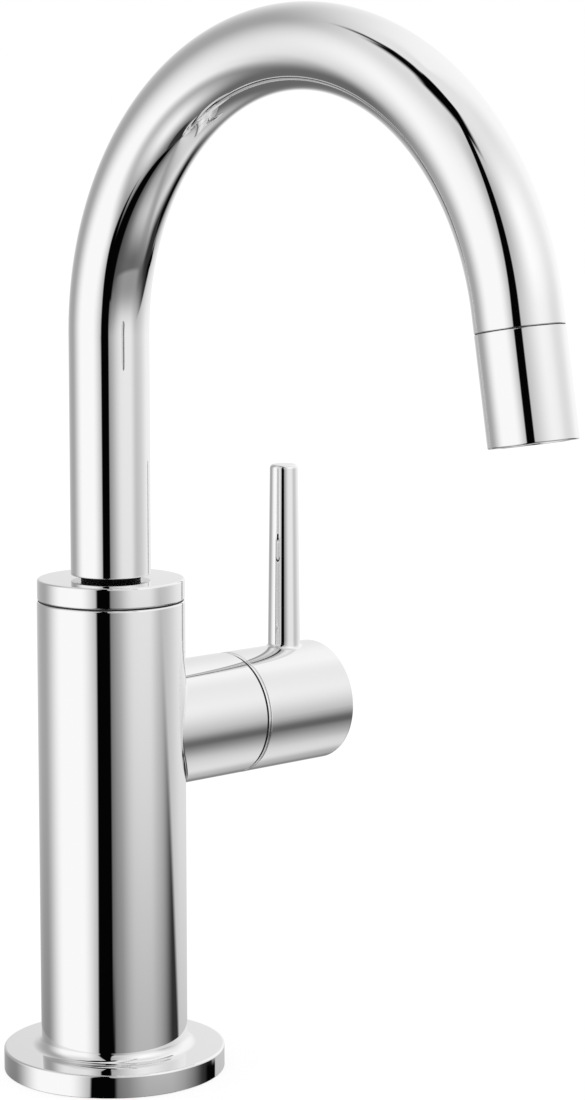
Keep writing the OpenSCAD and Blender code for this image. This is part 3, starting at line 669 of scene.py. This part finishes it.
def make_collar(materials):
    """Turned-in end of the riser: it closes the gap between the tube and the black ring."""
    mouth_r, top = NECK_RING_R + FIT, TUBE_END + COLLAR_T
    collar = turned("spout_collar", [(mouth_r, TUBE_END), (TUBE_BORE_R, TUBE_END), (TUBE_BORE_R, top),
                                     (mouth_r, top)], TUBE_SIDES, filled=False)
    finish(collar, "spout", "chrome", materials)


def make_outlet(materials):
    """Housing of the aerator, as wide as the tube, with a lip turned in at its mouth."""
    outlet = turned("outlet_shell", [
        (TUBE_BORE_R, OUTLET_SEAL_T), (TUBE_R, OUTLET_SEAL_T), (TUBE_R, OUTLET_LEN), (LIP_R, OUTLET_LEN),
        (LIP_R, OUTLET_LEN - LIP_H), (TUBE_BORE_R, OUTLET_LEN - LIP_H)], TUBE_SIDES, filled=False)
    round_ring(outlet, TUBE_R, OUTLET_LEN, OUTLET_ROUND, 4)
    round_ring(outlet, TUBE_R, OUTLET_SEAL_T, TUBE_ROUND, 3)
    round_ring(outlet, LIP_R, OUTLET_LEN, LIP_ROUND, 2)
    on_outlet(outlet)
    finish(outlet, "spout", "chrome", materials, "outlet_housing")


def screw_thread(name, radius, pitch, low, high, sides):
    """A V thread of 60 degrees, wound by a Screw modifier and cut off square at both ends."""
    # Shares of the pitch; the rest of it is the flat between two turns
    depth, flank, crest = 0.54 * pitch, 0.3125 * pitch, 0.125 * pitch
    # The winding starts before the low end and stops beyond the high one
    start = low - 1.5 * pitch
    turns = int((high - low) / pitch) + 4
    deselect_all()
    bpy.ops.mesh.primitive_plane_add(size=MM, location=(radius - depth, 0, start))
    thread = bpy.context.object
    thread.name = name
    bpy.ops.object.transform_apply(location=True)
    bpy.ops.object.mode_set(mode="EDIT")
    bpy.ops.mesh.select_mode(type="VERT")
    bpy.ops.mesh.select_all(action="SELECT")
    bpy.ops.mesh.merge(type="CENTER")
    for out, up in ((depth, flank), (0, crest), (-depth, flank), (0, pitch - 2 * flank - crest)):
        bpy.ops.mesh.extrude_vertices_move(TRANSFORM_OT_translate={"value": (out, 0, up)})
    bpy.ops.object.mode_set(mode="OBJECT")
    screw = thread.modifiers.new("screw", "SCREW")
    screw.screw_offset = pitch
    screw.iterations = turns
    screw.steps = sides
    screw.render_steps = sides
    screw.use_merge_vertices = True
    screw.merge_threshold = SAME_POINT
    bpy.ops.object.modifier_apply(modifier=screw.name)
    bpy.ops.object.mode_set(mode="EDIT")
    for height, side in ((low, -1), (high, 1)):
        bpy.ops.mesh.select_all(action="SELECT")
        bpy.ops.mesh.bisect(plane_co=(0, 0, height), plane_no=(0, 0, side), use_fill=True, clear_outer=True,
                            threshold=SAME_POINT / 10)
    bpy.ops.mesh.select_all(action="SELECT")
    bpy.ops.mesh.remove_doubles(threshold=SAME_POINT)
    bpy.ops.mesh.normals_make_consistent(inside=False)
    bpy.ops.object.mode_set(mode="OBJECT")
    return thread


def fill_slivers(piece):
    """Closes the pinholes that a boolean can leave where a thread runs out."""
    use(piece)
    bpy.ops.object.mode_set(mode="EDIT")
    bpy.ops.mesh.select_mode(type="VERT")
    bpy.ops.mesh.select_all(action="SELECT")
    bpy.ops.mesh.fill_holes(sides=4)
    bpy.ops.object.mode_set(mode="OBJECT")


def hexagon(name, flats, low, high, chamfer):
    """Hexagonal bar with its corners turned off at both ends."""
    corner_r = flats / 2 / cos(pi / 6)
    deselect_all()
    bpy.ops.mesh.primitive_cylinder_add(vertices=6, radius=corner_r, depth=high - low,
                                        location=(0, 0, (low + high) / 2), rotation=(0, 0, pi / 6))
    bar = bpy.context.object
    bar.name = name
    bpy.ops.object.transform_apply(location=True, rotation=True)
    edge_r = flats / 2 - chamfer / 2
    wide_r = corner_r + PAST / 2
    # The turned corners rise by half of what they go out
    rise = (wide_r - edge_r) / 2
    cut(bar, turned("corners", [(edge_r, low), (wide_r, low + rise), (wide_r, high - rise), (edge_r, high)],
                    SHANK_SIDES), "INTERSECT")
    return bar


def threaded_blank(name, radius, chamfer, low, high, sides):
    """Bar that a thread is trimmed to: chamfered at its low end, and else just wider than the crests."""
    clear = 0.1 * MM
    return turned(name, [(radius - chamfer, low), (radius + clear, low + chamfer + clear),
                         (radius + clear, high)], sides)


def make_shank(materials):
    """Threaded shank under the foot, and its head inside the body."""
    low, top = SHANK_LOW.z, SHANK_HIGH.z
    shank = screw_thread("shank_thread", SHANK_R, SHANK_PITCH, low, SHANK_HEAD_Z + 2 * PAST, SHANK_SIDES)
    blank = threaded_blank("shank_blank", SHANK_R, 1 * MM, low, SHANK_HEAD_Z + PAST, SHANK_SIDES)
    cut(shank, blank, "INTERSECT")
    head = turned("shank_head", [(SHANK_HIGH.x, SHANK_HEAD_Z), (SHANK_HIGH.x, top)], SHANK_SIDES)
    cut(shank, head, "UNION")
    cut(shank, turned("shank_bore", [(SHANK_BORE_R, low - PAST), (SHANK_BORE_R, top + PAST)], SHANK_SIDES))
    fill_slivers(shank)
    finish(shank, "body", "brass", materials, "threaded_shank")


def make_fitting(materials):
    """Compression inlet: hexagon, thread and flared mouth."""
    low, top = FITTING_LOW.z, FITTING_HIGH.z
    shoulder = top - FITTING_HEX_H
    socket_r = SUPPLY_HIGH.x + FIT
    bore_r = SUPPLY_HIGH.x - SUPPLY_WALL
    fitting = screw_thread("inlet_thread", FITTING_R, FITTING_PITCH, low, shoulder + 2 * PAST, FITTING_SIDES)
    blank = threaded_blank("fitting_blank", FITTING_R, 0.7 * MM, low, shoulder + PAST, FITTING_SIDES)
    cut(fitting, blank, "INTERSECT")
    cut(fitting, hexagon("fitting_hexagon", FITTING_FLATS, shoulder, top, FITTING_CHAMFER), "UNION")
    cut(fitting, turned("fitting_bore", [
        (bore_r + FITTING_FLARE, low - PAST), (bore_r, low + FITTING_FLARE_H), (bore_r, SUPPLY_LOW.z),
        (socket_r, SUPPLY_LOW.z), (socket_r, top + PAST)], FITTING_SIDES))
    fill_slivers(fitting)
    finish(fitting, "body", "brass", materials, "inlet_fitting")


def make_nut(materials):
    """Clamp nut, with its bore widened at both mouths."""
    low, top = NUT_LOW.z, NUT_HIGH.z
    nut = hexagon("clamp_nut", NUT_FLATS, low, top, NUT_CHAMFER)
    bore_r = SHANK_R + FIT
    mouth_r = bore_r + NUT_MOUTH
    cut(nut, turned("nut_bore", [
        (mouth_r, low - PAST), (mouth_r, low), (bore_r, low + NUT_MOUTH), (bore_r, top - NUT_MOUTH),
        (mouth_r, top), (mouth_r, top + PAST)], SHANK_SIDES))
    finish(nut, "nut", "brass", materials, "mounting_nut")


def make_washers(materials):
    """Rubber washer under the deck, and the steel one that the nut bears on."""
    bore_r = SHANK_R + WASHER_FIT
    for name, node, slot, low, high, edge in (
            ("rubber_seal", "rubber_washer", "rubber", RUBBER_LOW, RUBBER_HIGH, RUBBER_ROUND),
            ("steel_washer", "metal_washer", "steel", WASHER_LOW, WASHER_HIGH, WASHER_ROUND)):
        ring = turned(name, [(bore_r, low.z), (high.x, low.z), (high.x, high.z), (bore_r, high.z)],
                      RING_SIDES, filled=False)
        for height in (low.z, high.z):
            round_ring(ring, high.x, height, edge, 3)
        finish(ring, "washers", slot, materials, node)


def make_supply_tube(materials):
    """Copper tube from the body down into the fitting."""
    low, high = SUPPLY_LOW.z, SUPPLY_HIGH.z
    outer_r = SUPPLY_HIGH.x
    bore_r = outer_r - SUPPLY_WALL
    tube = turned("supply_tube", [(bore_r, low), (outer_r, low), (outer_r, high), (bore_r, high)],
                  SHANK_SIDES, filled=False)
    round_ring(tube, outer_r, low, SUPPLY_ROUND, 2)
    finish(tube, "body", "copper", materials, "inlet_tube")


# Camera: its place and direction come from the photograph's perspective
CAMERA_AT = Vector((-512.9, -618.7, 248.6)) * MM
CAMERA_TURN = radians(-43.02)
CAMERA_DROP = radians(7.866)
LENS = 102.3
SENSOR = 36
NEAREST = 10 * MM


def make_camera():
    data = bpy.data.cameras.new("camera")
    data.lens = LENS
    data.sensor_width = SENSOR
    data.clip_start = NEAREST
    camera = bpy.data.objects.new("camera", data)
    bpy.context.scene.collection.objects.link(camera)
    camera.location = CAMERA_AT
    camera.rotation_euler = (pi / 2 - CAMERA_DROP, 0, CAMERA_TURN)
    bpy.context.scene.camera = camera


# The tent round the faucet, as its chrome mirrors it, in degrees. Each sheet hangs over the ones before it:
# - its name
# - the bearing of its middle: 0 is the side of the photograph's camera, and 90 that camera's right
# - its left edge, from clear to full, and its right edge, from full to clear, both counted from the middle
# - its lower edge, from clear to full, and its upper edge, from full to clear, over the horizon
# - how much it narrows for each degree of height
# - how much its level edges slope, and how much more for each degree across
# - its grey
ALL_ROUND = (-200, -199, 199, 200)
TENT_FRONT = radians(133.02)
TENT_GREY = "#A2A2A2"
TENT_LIGHT = 1.24
TENT = (
    ("floor_sheet", 0, ALL_ROUND, (-92, -91, -23, -10), 0, 0, 0, "#656565"),
    ("left_pool", -68, (-55, 2, 7, 66), (-80, -53, -66, -17), 0, 0, 0, "#FDFDFD"),
    ("right_pool", 57, (-77, 17, 6, 39), (-110, -32, -57, -33), 0, 0, 0, "#D9D9D9"),
    ("back_pool", 146, (-94, -2, -7, 48), (-93, -86, -45, -22), 0, 0, 0, "#D2D2D2"),
    ("near_pool", 119, (-30, -11, 26, 74), (-62, -33, -67, -20), 0, 0, 0, "#F8F8F8"),
    ("roof_sheet", 0, ALL_ROUND, (38, 74, 100, 101), 0, 0, 0, "#E2E2E2"),
    ("back_softbox", 129, (-46, 10, 23, 103), (-33, 2, 83, 93), 0, 0, 0, "#F1F1F1"),
    ("right_glow", 39, (-51, -40, 24, 47), (-28, -3, -42, 34), 0, 0, 0, "#FDFDFD"),
    ("right_edge", 47, (-40, -28, 26, 44), (-31.5, -29, -30, -6), 0, 0.03, -0.0028, "#949494"),
    ("right_softbox", 63, (-76, -9, -16, 123), (-28, 27, 38, 77), 0, 0, 0, "#FDFDFD"),
    ("left_softbox", -62, (-62, -18, 16, 54), (-41, -22, 9, 91), 0, 0, 0, "#F8F8F8"),
    ("table_edge", 129, (-37, -15, 19, 43), (-50, -31, -26, -21), 0, 0.06, -0.0005, "#080808"),
    ("table_haze", 112, (-31, -2, 13, 15), (-34, -29, -15, -13), 0, 0.19, 0, "#2F2F2F"),
    ("roof_bar_tail", -98, (-20, -4, 6, 15), (60.2, 64.6, 65.8, 70.2), 0, -0.53, 0, "#2D2D2D"),
    ("roof_bar_left", -80, (-21, -7, 40, 52), (59, 66.2, 73, 76.5), 0, -0.19, 0.005, "#050505"),
    ("roof_bar_right", -40, (-20, -6, 42, 54), (58, 64, 76.6, 79.2), 0, 0, 0.0031, "#040404"),
    # Painted shadow of the spout on the floor, put into the tent, because the chrome looks through the real
    # floor
    ("painted_spout_shadow", -48, (-62, -31, 24, 47), (-93, -91, -78, -75), 0, 0, 0, "#2F2F2F"),
    ("table_corner", 124, (-14, -6, 8.5, 10.5), (-23, -20, -17.2, -16.7), 0, 0, 0, "#050505"),
    ("flag_haze", 0, (-23, -14, -9, 40), (-92, -77, -15, 14), 0, 0, 0, "#464646"),
    ("flag_foot", 0, (-10, -8, 2.5, 7), (-92, -76, -17, -15), 0, 0, 0, "#060606"),
    ("flag_toe", -20, (-9, -6, 4, 7), (-42, -34, -16.9, -11.2), 0, -1.9, 0, "#040404"),
    ("black_flag_low", -8, (-12.9, -9.8, 8.8, 11.8), (-92, -76, 0, 4), -0.004, 0, 0, "#040404"),
    ("black_flag", -9.5, (-13.8, -10.6, 8.3, 11.8), (-5, -1, 65, 69), 0.015, 0, 0, "#040404"),
)


def mirrored_tent(tree):
    """Grey of the tent in each direction."""
    direction = add_node(tree, "ShaderNodeTexCoord").outputs["Generated"]
    fronted = add_node(tree, "ShaderNodeVectorRotate", {"Vector": direction, "Angle": TENT_FRONT},
                       rotation_type="Z_AXIS")
    parts = add_node(tree, "ShaderNodeSeparateXYZ", {"Vector": fronted}).outputs
    bearing = add_node(tree, "ShaderNodeMath", {0: parts["Y"], 1: parts["X"]}, operation="ARCTAN2")
    bearing = add_node(tree, "ShaderNodeMath", {0: bearing}, operation="DEGREES")
    height = add_node(tree, "ShaderNodeMath", {0: parts["Z"]}, operation="ARCSINE")
    height = add_node(tree, "ShaderNodeMath", {0: height}, operation="DEGREES")
    light = colour(TENT_GREY)[0]
    for _, middle, sides, levels, narrows, slopes, bends, grey in TENT:
        across = add_node(tree, "ShaderNodeMath", {0: bearing, 1: middle}, operation="SUBTRACT")
        across = add_node(tree, "ShaderNodeMath", {0: across, 1: -180, 2: 180}, operation="WRAP")
        lean = add_node(tree, "ShaderNodeMath", {0: across, 1: bends, 2: slopes}, operation="MULTIPLY_ADD")
        up = add_node(tree, "ShaderNodeMath", {0: across, 1: lean, 2: height}, operation="MULTIPLY_ADD")
        width = add_node(tree, "ShaderNodeMath", {0: height, 1: narrows, 2: 1}, operation="MULTIPLY_ADD")
        across = add_node(tree, "ShaderNodeMath", {0: across, 1: width}, operation="MULTIPLY")
        edges = []
        for value, clear, full in ((across, sides[0], sides[1]), (across, sides[3], sides[2]),
                                   (up, levels[0], levels[1]), (up, levels[3], levels[2])):
            edges.append(add_node(tree, "ShaderNodeMapRange", {"Value": value, "From Min": clear,
                                                               "From Max": full},
                                  interpolation_type="SMOOTHSTEP"))
        cover = edges[0]
        for edge in edges[1:]:
            cover = add_node(tree, "ShaderNodeMath", {0: cover, 1: edge}, operation="MULTIPLY")
        light = add_node(tree, "ShaderNodeMix", {"Factor": cover, "A": light, "B": colour(grey)[0]})
    return light


def make_world():
    """White behind everything, an even soft light on it, and the tent for what glossy surfaces mirror."""
    world = bpy.data.worlds.new("studio")
    bpy.context.scene.world = world
    world.use_nodes = True
    tree = world.node_tree
    tree.nodes.clear()
    rays = add_node(tree, "ShaderNodeLightPath").outputs
    white = add_node(tree, "ShaderNodeBackground", {"Color": colour("#FFFFFF"), "Strength": 1.0})
    # The chrome gives back four fifths of what it mirrors, and the greys above are what it shows
    tent = add_node(tree, "ShaderNodeBackground", {"Color": mirrored_tent(tree), "Strength": TENT_LIGHT})
    shown = add_node(tree, "ShaderNodeMixShader", {0: rays["Is Glossy Ray"], 1: white, 2: tent})
    add_node(tree, "ShaderNodeOutputWorld", {"Surface": shown})


# Floor: how many times as wide as its hole it is, how far it is lifted to white, and that white's strength
FLOOR_Z = -0.2 * MM
FLOOR_HOLE_R = 28 * MM
FLOOR_SPREAD = 150
FLOOR_LIFT = 0.75
FLOOR_WHITE = 1.08


def make_floor():
    """Pale card with a hole for the shank. It is clear from below and in mirrors, which show the tent."""
    deselect_all()
    bpy.ops.mesh.primitive_circle_add(vertices=RING_SIDES, radius=FLOOR_HOLE_R, location=(0, 0, FLOOR_Z))
    floor = bpy.context.object
    floor.name = "floor"
    bpy.ops.object.transform_apply(location=True)
    bpy.ops.object.mode_set(mode="EDIT")
    bpy.ops.mesh.select_all(action="SELECT")
    bpy.ops.mesh.extrude_edges_move(TRANSFORM_OT_translate={"value": (0, 0, 0)})
    bpy.ops.transform.resize(value=(FLOOR_SPREAD, FLOOR_SPREAD, 1), center_override=(0, 0, FLOOR_Z))
    bpy.ops.mesh.select_all(action="SELECT")
    bpy.ops.mesh.normals_make_consistent(inside=False)
    bpy.ops.object.mode_set(mode="OBJECT")
    if floor.data.polygons[0].normal.z < 0:
        floor.data.flip_normals()
    material, tree, _ = new_material("pale_card")
    tree.nodes.clear()
    rays = add_node(tree, "ShaderNodeLightPath").outputs
    below = add_node(tree, "ShaderNodeNewGeometry").outputs["Backfacing"]
    # In the camera's view the card is lifted to white, and keeps the soft shadow round the foot
    card = add_node(tree, "ShaderNodeBsdfDiffuse", {"Color": colour("#F2F2F2")})
    glow = add_node(tree, "ShaderNodeEmission", {"Color": colour("#FFFFFF"), "Strength": FLOOR_WHITE})
    lift = add_node(tree, "ShaderNodeMath", {0: rays["Is Camera Ray"], 1: FLOOR_LIFT}, operation="MULTIPLY")
    lifted = add_node(tree, "ShaderNodeMixShader", {0: lift, 1: card, 2: glow})
    clear = add_node(tree, "ShaderNodeBsdfTransparent")
    unseen = add_node(tree, "ShaderNodeMath", {0: below, 1: rays["Is Glossy Ray"]}, operation="MAXIMUM")
    shown = add_node(tree, "ShaderNodeMixShader", {0: unseen, 1: lifted, 2: clear})
    add_node(tree, "ShaderNodeOutputMaterial", {"Surface": shown})
    floor.data.materials.append(material)


def main():
    materials = make_materials()
    make_camera()
    make_world()
    make_floor()
    make_body(materials)
    make_cap(materials)
    make_seals(materials)
    make_neck_ring(materials)
    make_trim_ring(materials)
    make_handle(materials)
    make_lever(materials)
    make_spout(materials)
    make_collar(materials)
    make_outlet(materials)
    make_shank(materials)
    make_supply_tube(materials)
    make_fitting(materials)
    make_nut(materials)
    make_washers(materials)
    bpy.context.scene.view_settings.view_transform = "Standard"


main()
